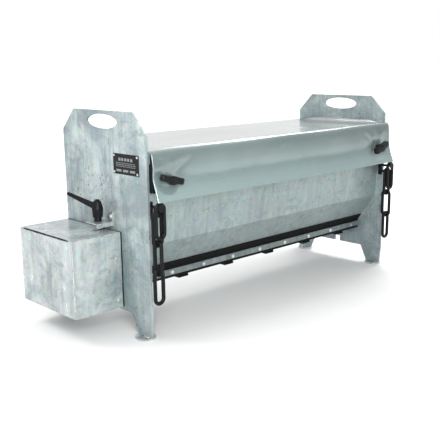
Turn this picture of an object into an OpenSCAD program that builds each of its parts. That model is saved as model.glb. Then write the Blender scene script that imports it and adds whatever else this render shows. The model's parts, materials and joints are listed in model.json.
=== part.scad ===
/* [Hopper] */
// Clear length between the two end plates
length_in = 1000; // [800:20:1400]
// Height of the hopper rim above the floor
rim_z = 480; // [460:1:490]
// Height of the crease between the upper and lower wall panels
crease_z = 240; // [225:1:255]
// Half width of the hopper at the crease
crease_y = 151.5; // [148:0.5:154]
// Half width of the hopper at the rim
rim_y = 180.5; // [178:0.5:182]
// Thickness of the hopper sheet
sheet_t = 2.5; // [2:0.5:3]
// Number of seed outlets in the floor
outlets = 8; // [6:1:8]
// Diameter of one outlet
outlet_d = 20; // [16:1:20]

/* [End plates] */
// Depth of an end plate from front edge to rear edge
plate_depth = 366; // [360:1:370]
// Height of an end plate
plate_top = 575; // [565:1:600]
// Thickness of an end plate
plate_t = 6; // [5:0.5:6]
// Cut of the two top corners
corner_cut = 56; // [48:1:60]
// Width of the handle hole
handle_w = 134; // [110:1:140]
// Height of the handle hole
handle_h = 37.5; // [32:0.5:40]
// Height of the bottom edge between the legs
belly_z = 55; // [50:1:60]
// Diameter of a foot disc
foot_d = 54; // [46:1:60]
// Thickness of a foot disc
foot_t = 5; // [4:1:6]

/* [Drive cover] */
// Length of the drive cover along the hopper axis
cover_len = 150; // [146:1:170]
// Distance of the cover's front wall in front of the shaft
cover_front = 68; // [64:1:72]
// Height of the underside of the cover
cover_bottom = 65; // [60:1:70]
// Height of the top of the cover
cover_top = 266; // [262:1:270]
// Thickness of the cover sheet
cover_t = 2; // [1.5:0.5:2.5]

/* [Agitator] */
// Diameter of the agitator shaft
shaft_d = 20; // [16:1:22]
// Height of the agitator shaft
shaft_z = 175; // [172:1:178]
// Reach of a finger from the shaft axis
finger_r = 60; // [50:1:62]

/* [Tarpaulin] */
// Thickness of the tarpaulin solids
tarp_t = 3; // [2:0.5:3]
// Height of the underside of the tarpaulin top
tarp_z = 482; // [481:0.5:484]

/* [Chains] */
// Wire diameter of a chain link
wire_d = 10; // [8:0.5:10]
// Outer length of a chain link
link_len = 95; // [90:1:96]
// Outer width of a chain link
link_w = 36; // [35:0.5:37]

/* [Hidden] */
$fn = 48;
half_in = length_in / 2;
plate_out = half_in + plate_t;
half_depth = plate_depth / 2;

// Extent of the whole object, used to put the origin under its middle
foot_x = half_in + plate_t / 2;
cover_x = -(plate_out + cover_len);
knob_y = -218;
knob_d = 17;
gland_rear_y = half_depth + 22;
mid_x = (cover_x + foot_x + foot_d / 2) / 2;
mid_y = (knob_y - knob_d / 2 + gland_rear_y) / 2;

// End plates
corner_r = 8;
handle_z = plate_top - 28;
leg_top_in = 102;
leg_foot_in = 126;
leg_foot_out = 178;
foot_y = (leg_foot_in + leg_foot_out) / 2;
leg_taper_z = 60;
notch_half = 11;
notch_top = 74;

// Hopper walls
wall_slope = (rim_y - crease_y) / (rim_z - sheet_t - crease_z);
lip_y = half_depth + 5;
lip_z = rim_z - 28;
skirt_y = 92;
skirt_top = 150;
skirt_bottom = 119;
function wall_y(z) = crease_y + wall_slope * (z - crease_z);

// Outer line of the front wall, from the skirt up to the turned lip
wall_line = [
  [-skirt_y, skirt_bottom],
  [-skirt_y, skirt_top],
  [-crease_y, crease_z],
  [-rim_y, rim_z - sheet_t],
  [-lip_y + sheet_t, rim_z - sheet_t],
  [-lip_y + sheet_t, lip_z]
];

// Floor: a flat outlet strip between two sloped strips, and their weld gap
floor_z = 101;
floor_half = 40;
weld_gap = 0.05;
floor_side_line = [
  [-skirt_y + sheet_t, skirt_bottom],
  [-floor_half - 1, floor_z]
];

// Small parts and clearances
cut = 1;
hand_gap = 0.3;
running_gap = 0.5;

// Apron bar, rubber and bolts along the skirt
rubber_t = 3;
rubber_bottom = 120;
rubber_top = 169;
rubber_line = [
  [-skirt_y, rubber_bottom],
  [-skirt_y, skirt_top],
  [-skirt_y - (crease_y - skirt_y) * (rubber_top - skirt_top) / (crease_z - skirt_top), rubber_top]
];
bar_t = 3;
bar_z = 136;
bar_h = 16;
bar_left = 494;
bar_right = 490;
apron_bolts_n = 9;
bolt_pitch = (length_in - 77) / (apron_bolts_n - 1);
bolt_first = -(half_in - 19);
m6 = 6;
m8 = 8;

// Metering slide under the floor
slide_z = 97;
slide_t = 3;
slide_half = 30;
slide_open = 13;
slide_end_gap = 20;
outlet_pitch = 120;
outlet_first = -outlet_pitch * (outlets - 1) / 2;
guide_n = 6;
guide_pitch = 183;
guide_len = 35;
guide_half = 42;
guide_gap = 15;
guide_bottom = 91;
stud_x = -(plate_out + 24);
arm_t = 4;
arm_half = 30;
arm_top = 238;
arm_eye_d = 46;
arm_foot = 18;
arm_foot_t = 3;
arm_bolt_x = stud_x - 12;
arm_bolt_y = 18;

// Gear motor
gear_in = -(plate_out + 50);
gear_len = 60;
gear_half = 48;
gear_wall = 8;
gear_bottom = shaft_z - 64;
shaft_end_x = plate_out + 5;
gear_mid_x = gear_in - gear_len / 2;
worm_drop = 36;
worm_z = shaft_z - worm_drop;
wheel_r = 27;
wheel_teeth = 30;
motor_r = 36;
motor_len = 104;
gear_bolt_y = 41;
gear_bolt_z = [shaft_z - 57, shaft_z + 41];
screw_z = [197, 83];
screw_x = -(plate_out + 15);
seal_t = 4;
seal_rim = 3;
slot_half = 6;
gland_x = cover_x + 50;
gland_z = cover_bottom + 35;

// Clamp bracket and lever on top of the cover
bracket_z = 286;
bracket_t = 3;
bracket_reach = 50;
bracket_front = -34;
bracket_rear = 20;
bracket_lip = 8;
bracket_tab = 18;
bracket_bolt_y = bracket_front + 9;
bracket_bolt_z = bracket_z + 15;
lever_z = bracket_z + bracket_t;
lever_aim = 127;
lever_reach = 77;
lever_rise = 71;
lever_root_z = 36;
hub_top = 53;

// Rating plate on the left end plate
label_y = [-152, -47];
label_z = [418, 470];
label_t = 1;
rivet_in = 5;
rivet_d = 3;

// Tarpaulin fold, flap and turn knobs
fold_y = -190;
fold_z = tarp_z + tarp_t / 2;
hem_y = half_depth + 7;
flap_half = half_in + 3;
top_half = half_in - 3;
flap_t = 2.5;
flap_y = -200;
knob_left_x = -456;
knob_right_x = 436;
knob_left_tilt = 14.5;
knob_right_tilt = -21.5;
knob_z = 413;
knob_reach = 28.5;
eyelet_t = 1.5;
bracket_pad_y = -195.5;
end_seal_w = 26;
end_seal_z = [381, 478];
clamp_pitch = 155;
clamp_z = lip_z + 9;
clamp_h = 16;
strip_t = 2;
clamp_t = 3;

// Outer line of the flap, from its lower hem up to the fold
flap_line = [
  [-221, 361],
  [flap_y, 396],
  [flap_y, 466],
  [fold_y - tarp_t - 3, tarp_z - 4],
  [fold_y - tarp_t + 0.5, fold_z]
];

// Chains
chain_x = half_in - 5;
chain_y = -203;
spare_y = chain_y - 11.2;
link_gap = 0.5;
link_step = link_len - 2 * wire_d - link_gap;
link_r = (link_w - wire_d) / 2;
hook_d = 8;
hook_z = 326.5;
spare_hook_z = hook_z + 20;
hook_drop = hook_d / 2 + wire_d / 2 + link_gap;
top_link_z = hook_z + hook_drop + wire_d / 2 - link_len / 2;
spare_link_z = spare_hook_z + hook_drop + wire_d / 2 - link_len / 2;

steel = "lightsteelblue";
dark_steel = "slategray";
zinc = "gainsboro";
black = [0.08, 0.08, 0.09];
tarp_grey = "silver";

// ---------- shared shapes ----------

// Moves a shape from the hopper's middle to the object's own origin
module placed() {
  translate([-mid_x, -mid_y, 0]) children();
}

// Extrudes an outline drawn in (y, z) along X, from x0 to x1
module along_x(x0, x1) {
  translate([x0, 0, 0])
    rotate([90, 0, 90])
      linear_extrude(height = x1 - x0) children();
}

// Round bar along X, from x0 to x1
module bar_x(x0, x1, d, y = 0, z = 0) {
  translate([x0, y, z]) rotate([0, 90, 0]) cylinder(h = x1 - x0, d = d);
}

// Round bar along Y, from y0 to y1
module bar_y(y0, y1, d, x = 0, z = 0) {
  translate([x, y0, z]) rotate([-90, 0, 0]) cylinder(h = y1 - y0, d = d);
}

// Box from one corner to the opposite one
module block(a, b) {
  translate(a) cube(b - a);
}

// Points of an arc round c
function arc(c, r, a0, a1, n = 6) =
  [for (i = [0:n]) c + r * [cos(a0 + (a1 - a0) * i / n), sin(a0 + (a1 - a0) * i / n)]];

// Unit normal on the left of a to b
function left_of(a, b) = let (d = (b - a) / norm(b - a)) [-d[1], d[0]];

// Point i of a bent line, moved by t square to it
function shifted(p, i, t) =
  let (
    n = len(p),
    a = i > 0 ? left_of(p[i - 1], p[i]) : left_of(p[0], p[1]),
    b = i < n - 1 ? left_of(p[i], p[i + 1]) : a
  )
  p[i] + t * (a + b) / (1 + a * b);

// Outline of a bent sheet of thickness t along the line p
function sheet(p, t) =
  concat(p, [for (i = [len(p) - 1:-1:0]) shifted(p, i, t)]);

// Mirrors a shape to the other side of the hopper as well
module both_sides(v) {
  children();
  mirror(v) children();
}

// Puts a shape at each of the four gearbox bolts
module at_gear_bolts() {
  for (y = [-gear_bolt_y, gear_bolt_y], z = gear_bolt_z)
    translate([0, y, z]) children();
}

// Hexagon bolt along Y: head in front of y0, nut behind y0 + grip
module bolt_y(d, grip) {
  bar_y(-0.65 * d, 0, 1.75 * d);
  bar_y(0, grip + 0.9 * d, d);
  difference() {
    translate([0, grip, 0]) rotate([-90, 30, 0]) cylinder(h = 0.8 * d, d = 1.9 * d, $fn = 6);
    bar_y(grip - 1, grip + d, d);
  }
}

// Oval chain link in the XZ plane, centred on the origin
module link_xz() {
  straight = link_len - link_w;
  for (s = [-1, 1])
    translate([s * link_r, 0, -straight / 2]) cylinder(h = straight, d = wire_d, $fn = 32);
  for (s = [0, 1])
    rotate([0, 180 * s, 0])
      translate([0, 0, straight / 2])
        rotate([90, 0, 0])
          rotate_extrude(angle = 180, $fn = 48)
            translate([link_r, 0]) circle(d = wire_d, $fn = 32);
}

// The same link turned into the YZ plane
module link_yz() {
  rotate([0, 0, 90]) link_xz();
}

// ---------- end plates and feet ----------

// Half outline of an end plate, front side, from the notch to the top
half_plate = concat(
  [[-notch_half, notch_top], [-notch_half, belly_z]],
  [[-leg_top_in, belly_z], [-leg_foot_in, foot_t], [-leg_foot_out, foot_t]],
  [[-half_depth, leg_taper_z]],
  arc([-half_depth + corner_r, plate_top - corner_cut - 3], corner_r, 180, 135, 4),
  arc([-half_depth + corner_cut + 3, plate_top - corner_r], corner_r, 135, 90, 4)
);

module plate_outline() {
  rear = [for (i = [len(half_plate) - 1:-1:0]) [-half_plate[i][0], half_plate[i][1]]];
  polygon(concat(half_plate, rear));
}

module handle_outline() {
  polygon([for (a = [0:7.5:352.5]) [handle_w / 2 * cos(a), handle_z + handle_h / 2 * sin(a)]]);
}

// Plain end plate with its handle hole and shaft hole
module end_plate(x0) {
  difference() {
    along_x(x0, x0 + plate_t) {
      difference() {
        plate_outline();
        handle_outline();
      }
    }
    bar_x(x0 - 1, x0 + plate_t + 1, 30, 0, shaft_z);
  }
}

module end_plate_left() {
  color(steel) placed() difference() {
    end_plate(-plate_out);
    block([-plate_out - cut, -slide_half - 2, slide_z - 2],
          [-half_in + cut, slide_half + 2, slide_z + slide_t + 2]);
    at_gear_bolts() bar_x(-plate_out - cut, -half_in + cut, m8 + running_gap);
    bar_x(-plate_out - cut, -half_in + cut, m6 + running_gap, bracket_bolt_y, bracket_bolt_z);
  }
}

module end_plate_right() {
  color(steel) placed() end_plate(half_in);
}

module foot_pads() {
  color(zinc) placed()
    for (x = [-foot_x, foot_x], y = [-foot_y, foot_y])
      translate([x, y, 0]) cylinder(h = foot_t, d = foot_d);
}

// ---------- hopper ----------

module wall_sheet() {
  along_x(-half_in, half_in) polygon(sheet(wall_line, -sheet_t));
}

module apron_holes(d) {
  for (i = [0:apron_bolts_n - 1])
    bar_y(-skirt_y - 10, -skirt_y + 10, d, bolt_first + i * bolt_pitch, bar_z);
}

module front_wall() {
  difference() {
    wall_sheet();
    apron_holes(m6 + 0.4);
  }
}

module hopper_front_panel() {
  color(steel) placed() front_wall();
}

module hopper_rear_panel() {
  color(steel) placed() difference() {
    mirror([0, 1, 0]) front_wall();
    tarp_holes(m6 + 0.4);
  }
}

module outlet_row(shift, z) {
  for (i = [0:outlets - 1])
    translate([outlet_first + i * outlet_pitch + shift, 0, z - 10]) cylinder(h = 20, d = outlet_d);
}

// Flat outlet strip between two sloped strips, which are welded to the skirts
module hopper_floor() {
  color(steel) placed() {
    difference() {
      block([-half_in, -floor_half, floor_z], [half_in, floor_half, floor_z + sheet_t]);
      outlet_row(0, floor_z);
    }
    both_sides([0, 1, 0]) along_x(-half_in, half_in) polygon(sheet(floor_side_line, sheet_t));
  }
}

// ---------- apron ----------

module apron_rubber() {
  color(black) placed() both_sides([0, 1, 0]) difference() {
    along_x(-bar_left, bar_right) polygon(sheet(rubber_line, rubber_t));
    apron_holes(m6 + 0.4);
  }
}

module apron_bars() {
  front = -skirt_y - rubber_t;
  color(zinc) placed() both_sides([0, 1, 0]) difference() {
    block([-bar_left, front - bar_t, bar_z - bar_h / 2], [bar_right, front, bar_z + bar_h / 2]);
    apron_holes(m6 + 0.4);
  }
}

module apron_bolts() {
  grip = bar_t + rubber_t + sheet_t;
  color(zinc) placed() both_sides([0, 1, 0])
    for (i = [0:apron_bolts_n - 1])
      translate([bolt_first + i * bolt_pitch, -skirt_y - rubber_t - bar_t, bar_z]) bolt_y(m6, grip);
}

// Pairs of hooked blocks that carry the metering slide under the floor
module slide_guides() {
  lip = slide_half + 0.6;
  color(black) placed() both_sides([0, 1, 0])
    for (i = [0:guide_n - 1])
      translate([(i - (guide_n - 1) / 2) * guide_pitch - guide_len / 2, 0, 0])
        along_x(0, guide_len) polygon([
          [guide_gap, guide_bottom], [guide_half - 2, guide_bottom], [guide_half, guide_bottom + 3],
          [guide_half - 5, floor_z], [lip, floor_z], [lip, slide_z - 0.4], [guide_gap, slide_z - 0.4]
        ]);
}

// ---------- shaft, bushes and drive ----------

// Plain bush with a flange on the outside of its plate
module bush() {
  difference() {
    union() {
      bar_x(plate_out, plate_out + 3, 44, 0, shaft_z);
      bar_x(half_in, plate_out, 30, 0, shaft_z);
    }
    bar_x(half_in - 1, plate_out + 4, shaft_d + 0.5, 0, shaft_z);
  }
}

module shaft_bush_left() {
  color(black) placed() mirror([1, 0, 0]) bush();
}

module shaft_bush_right() {
  color(black) placed() bush();
}

module agitator_shaft() {
  color(zinc) placed() difference() {
    bar_x(gear_in - gear_len + 4, shaft_end_x, shaft_d, 0, shaft_z);
    finger_row(8.2);
  }
}

// Cross pins through the shaft, each a quarter turn from the last
module finger_row(d) {
  for (i = [0:outlets - 1])
    translate([outlet_first + i * outlet_pitch, 0, shaft_z])
      rotate([45 + 90 * (i % 2), 0, 0])
        translate([0, 0, -finger_r]) cylinder(h = 2 * finger_r, d = d);
}

module agitator_fingers() {
  color(zinc) placed() finger_row(8);
}

module shaft_collars() {
  color(dark_steel) placed() both_sides([1, 0, 0]) difference() {
    bar_x(half_in - 14, half_in - 2, 34, 0, shaft_z);
    bar_x(half_in - 15, half_in - 1, shaft_d, 0, shaft_z);
  }
}

// Walls of the gearbox, open on the side away from the hopper
module gearbox_housing() {
  x0 = gear_in - gear_len;
  color(dark_steel) placed() difference() {
    block([x0 + gear_wall, -gear_half, gear_bottom], [gear_in, gear_half, shaft_z + gear_half]);
    block([x0 + gear_wall - 1, -gear_half + gear_wall, gear_bottom + gear_wall],
          [gear_in - gear_wall, gear_half - gear_wall, shaft_z + gear_half - gear_wall]);
    bar_x(x0, gear_in + 1, shaft_d + 1, 0, shaft_z);
    bar_y(0, gear_half + 1, 13, gear_mid_x, worm_z);
    at_gear_bolts() bar_x(x0, gear_in + cut, m8 + running_gap);
  }
}

module gearbox_lid() {
  x0 = gear_in - gear_len;
  color(dark_steel) placed() difference() {
    block([x0, -gear_half, gear_bottom], [x0 + gear_wall, gear_half, shaft_z + gear_half]);
    bar_x(x0 - 1, x0 + gear_wall + 1, shaft_d + 1, 0, shaft_z);
    at_gear_bolts() bar_x(x0 - cut, x0 + gear_wall + cut, m8 + running_gap);
  }
}

module gearbox_spacers() {
  color(zinc) placed() at_gear_bolts() difference() {
    bar_x(gear_in, -plate_out, 1.75 * m8);
    bar_x(gear_in - cut, -plate_out + cut, m8 + running_gap);
  }
}

// Long bolts from inside the hopper through plate, spacers and gearbox
module gearbox_bolts() {
  nut_x = gear_in - gear_len - 0.8 * m8;
  color(zinc) placed() at_gear_bolts() {
    bar_x(nut_x - 0.7 * m8, -half_in, m8);
    bar_x(-half_in, -half_in + 0.6 * m8, 1.75 * m8);
    difference() {
      translate([nut_x, 0, 0]) rotate([0, 90, 0]) cylinder(h = 0.8 * m8, d = 1.9 * m8, $fn = 6);
      bar_x(nut_x - cut, nut_x + m8, m8);
    }
  }
}

module worm_wheel() {
  color("peru") placed() translate([gear_mid_x - 7, 0, shaft_z]) rotate([0, 90, 0]) difference() {
    linear_extrude(height = 14)
      polygon([for (i = [0:4 * wheel_teeth - 1])
        let (r = (i % 4 < 2) ? wheel_r : wheel_r - 2.5, a = 90 * i / wheel_teeth)
        [r * cos(a), r * sin(a)]]);
    translate([0, 0, -1]) cylinder(h = 16, d = shaft_d);
  }
}

// Motor shaft with the worm's collar rings under the wheel
module worm_shaft() {
  color(dark_steel) placed() {
    bar_y(-30, gear_half + motor_len - 30, 10, gear_mid_x, worm_z);
    for (i = [-3:3])
      difference() {
        bar_y(i * 6 - 1.5, i * 6 + 1.5, 15, gear_mid_x, worm_z);
        bar_y(i * 6 - 2, i * 6 + 2, 10, gear_mid_x, worm_z);
      }
  }
}

module motor_can() {
  color(black) placed() difference() {
    bar_y(gear_half, gear_half + motor_len, 2 * motor_r, gear_mid_x, worm_z);
    bar_y(gear_half - 1, gear_half + motor_len - 28, 13, gear_mid_x, worm_z);
  }
}

module motor_end_cap() {
  can_end = gear_half + motor_len;
  color(dark_steel) placed() bar_y(can_end, can_end + 14, 2 * motor_r - 6, gear_mid_x, worm_z);
}

// ---------- drive cover ----------

module screw_holes(d) {
  for (z = screw_z)
    both_cover_walls() bar_y(-12, 12, d, screw_x, z);
}

// Puts a shape on the cover's front wall and, turned round, on its rear wall
module both_cover_walls() {
  translate([0, -cover_front, 0]) children();
  translate([0, half_depth, 0]) mirror([0, 1, 0]) children();
}

// Slot that the clamp stud passes through, from z0 to z1
module stud_slot(z0, z1) {
  block([stud_x - slide_open - slot_half, -slot_half, z0], [-plate_out + cut, slot_half, z1]);
}

// Sheet folded round three sides, with a welded top and bottom
module motor_cover() {
  edge_x = -plate_out - seal_t;
  color("lightgray") placed() {
    difference() {
      block([cover_x, -cover_front, cover_bottom + cover_t + weld_gap],
            [edge_x, half_depth, cover_top - cover_t - weld_gap]);
      block([cover_x + cover_t, -cover_front + cover_t, cover_bottom],
            [edge_x + cut, half_depth - cover_t, cover_top]);
      screw_holes(m6 + 0.4);
      bar_y(half_depth - 5, half_depth + 5, 16.4, gland_x, gland_z);
    }
    block([cover_x, -cover_front, cover_bottom], [edge_x, half_depth, cover_bottom + cover_t]);
    difference() {
      block([cover_x, -cover_front, cover_top - cover_t], [edge_x, half_depth, cover_top]);
      stud_slot(cover_top - cover_t - cut, cover_top + cut);
    }
  }
}

module cover_seal() {
  color(black) placed() difference() {
    block([-plate_out - seal_t, -cover_front, cover_bottom], [-plate_out, half_depth, cover_top]);
    block([-plate_out - seal_t - cut, -cover_front + seal_rim, cover_bottom + seal_rim],
          [-plate_out + cut, half_depth - seal_rim, cover_top - seal_rim]);
    stud_slot(cover_top - seal_rim - cut, cover_top + cut);
  }
}

// Angle tabs on the end plate that take the cover screws
module cover_tabs() {
  color(zinc) placed() for (z = screw_z) both_cover_walls() difference() {
    union() {
      block([-plate_out - 26, cover_t, z - 11], [-plate_out, cover_t + 3, z + 11]);
      block([-plate_out - 3, cover_t + 3, z - 11], [-plate_out, cover_t + 24, z + 11]);
    }
    bar_y(0, 12, m6 + 0.4, screw_x, z);
    block([-plate_out - seal_t - 1, 0, z - 12], [-plate_out + 1, 3, z + 12]);
  }
}

module cover_screws() {
  color(zinc) placed() for (z = screw_z)
    both_cover_walls() translate([screw_x, 0, z]) bolt_y(m6, cover_t + 3);
}

// Nut and sleeve of the supply cable's gland on the rear wall
module cable_gland() {
  color(black) placed() translate([gland_x, half_depth, gland_z]) difference() {
    union() {
      rotate([-90, 0, 0]) cylinder(h = 8, d = 26, $fn = 6);
      bar_y(8, 22, 18);
      bar_y(-cover_t - 6, 0, 16);
      translate([0, -cover_t - 5, 0]) rotate([-90, 0, 0]) cylinder(h = 5, d = 24, $fn = 6);
    }
    bar_y(-20, 30, 9);
  }
}

// ---------- metering slide and clamp ----------

module metering_slide() {
  color(zinc) placed() difference() {
    block([stud_x - arm_t / 2 - arm_foot - 2, -slide_half, slide_z],
          [half_in - slide_end_gap, slide_half, slide_z + slide_t]);
    outlet_row(slide_open, slide_z);
    at_arm_bolts() translate([0, 0, -cut]) cylinder(h = slide_t + 2 * cut, d = m6 + 0.4);
  }
}

// Upright arm with a wide eye round the agitator shaft and a foot on the slide
module slide_arm() {
  foot_top = slide_z + slide_t + arm_foot_t;
  color(zinc) placed() difference() {
    union() {
      block([stud_x - arm_t / 2, -arm_half, slide_z + slide_t], [stud_x + arm_t / 2, arm_half, arm_top]);
      block([stud_x - arm_t / 2 - arm_foot, -arm_half, slide_z + slide_t],
            [stud_x - arm_t / 2, arm_half, foot_top]);
    }
    bar_x(stud_x - arm_t, stud_x + arm_t, arm_eye_d, 0, shaft_z);
    at_arm_bolts() cylinder(h = slide_t + arm_foot_t + cut, d = m6 + 0.4);
  }
}

// Puts a shape at both bolts between the slide and its arm
module at_arm_bolts() {
  for (y = [-arm_bolt_y, arm_bolt_y])
    translate([arm_bolt_x, y, slide_z]) children();
}

module arm_bolts() {
  color(zinc) placed() at_arm_bolts() rotate([90, 0, 0]) bolt_y(m6, slide_t + arm_foot_t);
}

module clamp_stud() {
  stud_len = lever_z + hub_top - 1 - arm_top;
  color(zinc) placed() translate([stud_x, 0, arm_top]) cylinder(h = stud_len, d = m8);
}

// Folded bracket that the lever clamps the stud to, with a lip down and a tab up
module clamp_bracket() {
  back = -plate_out;
  tab_top = bracket_z + 27;
  color(zinc) placed() difference() {
    union() {
      block([back - bracket_reach, bracket_front, bracket_z], [back, bracket_rear, lever_z]);
      block([back - bracket_reach, bracket_front, bracket_z - bracket_lip],
            [back, bracket_front + bracket_t, bracket_z]);
      block([back - bracket_t, bracket_front, lever_z], [back, bracket_front + bracket_tab, tab_top]);
    }
    block([stud_x - slide_open - slot_half, -slot_half, bracket_z - cut],
          [stud_x + outlet_d - slide_open + slot_half - 2, slot_half, lever_z + cut]);
    bar_x(back - bracket_reach, back + cut, m6 + running_gap, bracket_bolt_y, bracket_bolt_z);
  }
}

module bracket_bolts() {
  color(zinc) placed() translate([-plate_out - bracket_t, bracket_bolt_y, bracket_bolt_z])
    rotate([0, 0, -90]) bolt_y(m6, bracket_t + plate_t);
}

// Stepped hub with a tapered arm that rises outwards and back
module lever_handle() {
  color(black) placed() translate([stud_x, 0, lever_z + 0.4]) difference() {
    union() {
      cylinder(h = 11, d = 20);
      translate([0, 0, 11]) cylinder(h = 22, d1 = 26, d2 = 30);
      translate([0, 0, 33]) cylinder(h = hub_top - 33, d1 = 30, d2 = 19);
      hull() {
        translate([0, 0, lever_root_z]) sphere(d = 18, $fn = 24);
        rotate([0, 0, lever_aim]) translate([lever_reach, 0, lever_rise]) sphere(d = 9, $fn = 24);
      }
    }
    translate([0, 0, -cut]) cylinder(h = hub_top + 2 * cut, d = m8 + 0.4);
  }
}

module lever_screw() {
  color(black) placed() translate([stud_x, 0, lever_z + hub_top + 0.4]) difference() {
    cylinder(h = 4, d = 11);
    translate([0, 0, 2]) cylinder(h = 3, d = 5, $fn = 6);
  }
}

// ---------- rating plate ----------

// Puts a shape at each rivet of the rating plate
module at_rivets() {
  for (i = [0, 1], j = [0, 1])
    translate([-plate_out - label_t, label_y[i] + (1 - 2 * i) * rivet_in, label_z[j] + (1 - 2 * j) * rivet_in])
      children();
}

module rating_plate() {
  color(black) placed() difference() {
    block([-plate_out - label_t, label_y[0], label_z[0]], [-plate_out, label_y[1], label_z[1]]);
    at_rivets() bar_x(-cut, label_t + cut, rivet_d);
  }
}

module plate_rivets() {
  color(zinc) placed() at_rivets() {
    bar_x(-1.2, 0, 2 * rivet_d);
    bar_x(0, label_t, rivet_d);
  }
}

// ---------- tarpaulin ----------

module tarp_holes(d) {
  for (i = [-3:3])
    bar_y(lip_y - 10, lip_y + 12, d, i * clamp_pitch, clamp_z);
}

module tarp_rear_strip() {
  color(tarp_grey) placed() difference() {
    block([-top_half, lip_y, lip_z - 6], [top_half, lip_y + strip_t, tarp_z - running_gap]);
    tarp_holes(m6 + 0.4);
  }
}

module tarp_clamp_bar() {
  color(zinc) placed() difference() {
    block([-top_half, lip_y + strip_t, clamp_z - clamp_h / 2],
          [top_half, lip_y + strip_t + clamp_t, clamp_z + clamp_h / 2]);
    tarp_holes(m6 + 0.4);
  }
}

module tarp_clamp_bolts() {
  color(zinc) placed() for (i = [-3:3])
    translate([i * clamp_pitch, lip_y + strip_t + clamp_t, clamp_z])
      rotate([0, 0, 180]) bolt_y(m6, strip_t + clamp_t + sheet_t);
}

module tarp_top() {
  color(tarp_grey) placed()
    block([-top_half, fold_y + 0.5, tarp_z], [top_half, hem_y - 1.5, tarp_z + tarp_t]);
}

module tarp_flap() {
  color(tarp_grey) placed() difference() {
    along_x(-flap_half, flap_half) polygon(sheet(flap_line, -flap_t));
    for (x = [knob_left_x, knob_right_x])
      bar_y(flap_y - 15, flap_y + 15, 14, x, knob_z);
  }
}

// Metal rings on both faces of the flap round each stud
module flap_eyelets() {
  color(zinc) placed() for (x = [knob_left_x, knob_right_x]) difference() {
    union() {
      bar_y(flap_y - eyelet_t, flap_y, 32, x, knob_z);
      bar_y(flap_y, flap_y + flap_t, 14, x, knob_z);
      bar_y(flap_y + flap_t, flap_y + flap_t + 0.5, 28, x, knob_z);
    }
    bar_y(flap_y - 15, flap_y + 15, 8.6, x, knob_z);
  }
}

// Blocks on the wall that take the knobs' studs
module knob_brackets() {
  color(zinc) placed() for (x = [knob_left_x, knob_right_x]) difference() {
    along_x(x - 15, x + 15) polygon([
      [bracket_pad_y, knob_z - 13], [bracket_pad_y, knob_z + 13],
      [-wall_y(knob_z + 13), knob_z + 13], [-wall_y(knob_z - 13), knob_z - 13]
    ]);
    bar_y(bracket_pad_y - cut, -wall_y(knob_z) + 5, 18, x, knob_z);
  }
}

// Black foam blocks that close both ends of the gap behind the flap
module end_seals() {
  low = end_seal_z[0];
  high = end_seal_z[1];
  face_y = flap_y + flap_t + 0.7;
  color(black) placed() both_sides([1, 0, 0])
    along_x(half_in - end_seal_w, half_in) polygon([
      [face_y, low], [face_y, high - 14], [face_y + 4.2, high],
      [-lip_y, high], [-lip_y, lip_z - weld_gap],
      [-wall_y(lip_z), lip_z - weld_gap], [-wall_y(low), low]
    ]);
}

// T-shaped knob on the front of the flap, turned by angle a about Y
module t_knob(a) {
  bar_y(-208, flap_y - eyelet_t - hand_gap, 20);
  bar_y(-211, -208, 17);
  translate([0, knob_y, 0]) rotate([0, a, 0]) {
    bar_x(-knob_reach, knob_reach, knob_d);
    for (s = [-1, 1])
      translate([knob_reach * s, 0, 0]) sphere(d = knob_d);
  }
}

module knob_stud_at(x) {
  translate([x, 0, knob_z]) {
    bar_y(flap_y - eyelet_t - hand_gap, -183, m8);
    difference() {
      bar_y(-190, -184, 13);
      bar_y(-191, -183, m8);
    }
  }
}

module knob_left() {
  color(black) placed() translate([knob_left_x, 0, knob_z]) t_knob(knob_left_tilt);
}

module knob_left_stud() {
  color(zinc) placed() knob_stud_at(knob_left_x);
}

module knob_right() {
  color(black) placed() translate([knob_right_x, 0, knob_z]) t_knob(knob_right_tilt);
}

module knob_right_stud() {
  color(zinc) placed() knob_stud_at(knob_right_x);
}

// ---------- chains ----------

// Blocks on the inner faces of the end plates, with two round prongs each
module chain_hooks() {
  color(zinc) placed() both_sides([1, 0, 0]) {
    block([half_in - 9, -half_depth, hook_z - 12], [half_in, -half_depth + 12, spare_hook_z + 12]);
    bar_y(chain_y - wire_d / 2 - 0.6, -half_depth, hook_d, chain_x, hook_z);
    bar_y(spare_y - wire_d / 2 - 3, -half_depth, hook_d, chain_x, spare_hook_z);
    difference() {
      bar_y(spare_y - wire_d / 2 - 3, spare_y - wire_d / 2 - 1, 20, chain_x, spare_hook_z);
      bar_y(spare_y - wire_d / 2 - 4, spare_y, hook_d, chain_x, spare_hook_z);
    }
  }
}

// Links of one side, at x = side * chain_x
module spare_link(side) {
  color(black) placed() translate([side * chain_x, spare_y, spare_link_z]) link_xz();
}

module top_link(side) {
  color(black) placed() translate([side * chain_x, chain_y, top_link_z]) link_xz();
}

module mid_link(side) {
  color(black) placed() translate([side * chain_x, chain_y, top_link_z - link_step]) link_yz();
}

module end_link(side) {
  color(black) placed() translate([side * chain_x, chain_y, top_link_z - 2 * link_step]) link_xz();
}

module chain_left_spare() {
  spare_link(-1);
}

module chain_left_top() {
  top_link(-1);
}

module chain_left_mid() {
  mid_link(-1);
}

module chain_left_end() {
  end_link(-1);
}

module chain_right_spare() {
  spare_link(1);
}

module chain_right_top() {
  top_link(1);
}

module chain_right_mid() {
  mid_link(1);
}

module chain_right_end() {
  end_link(1);
}

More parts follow.
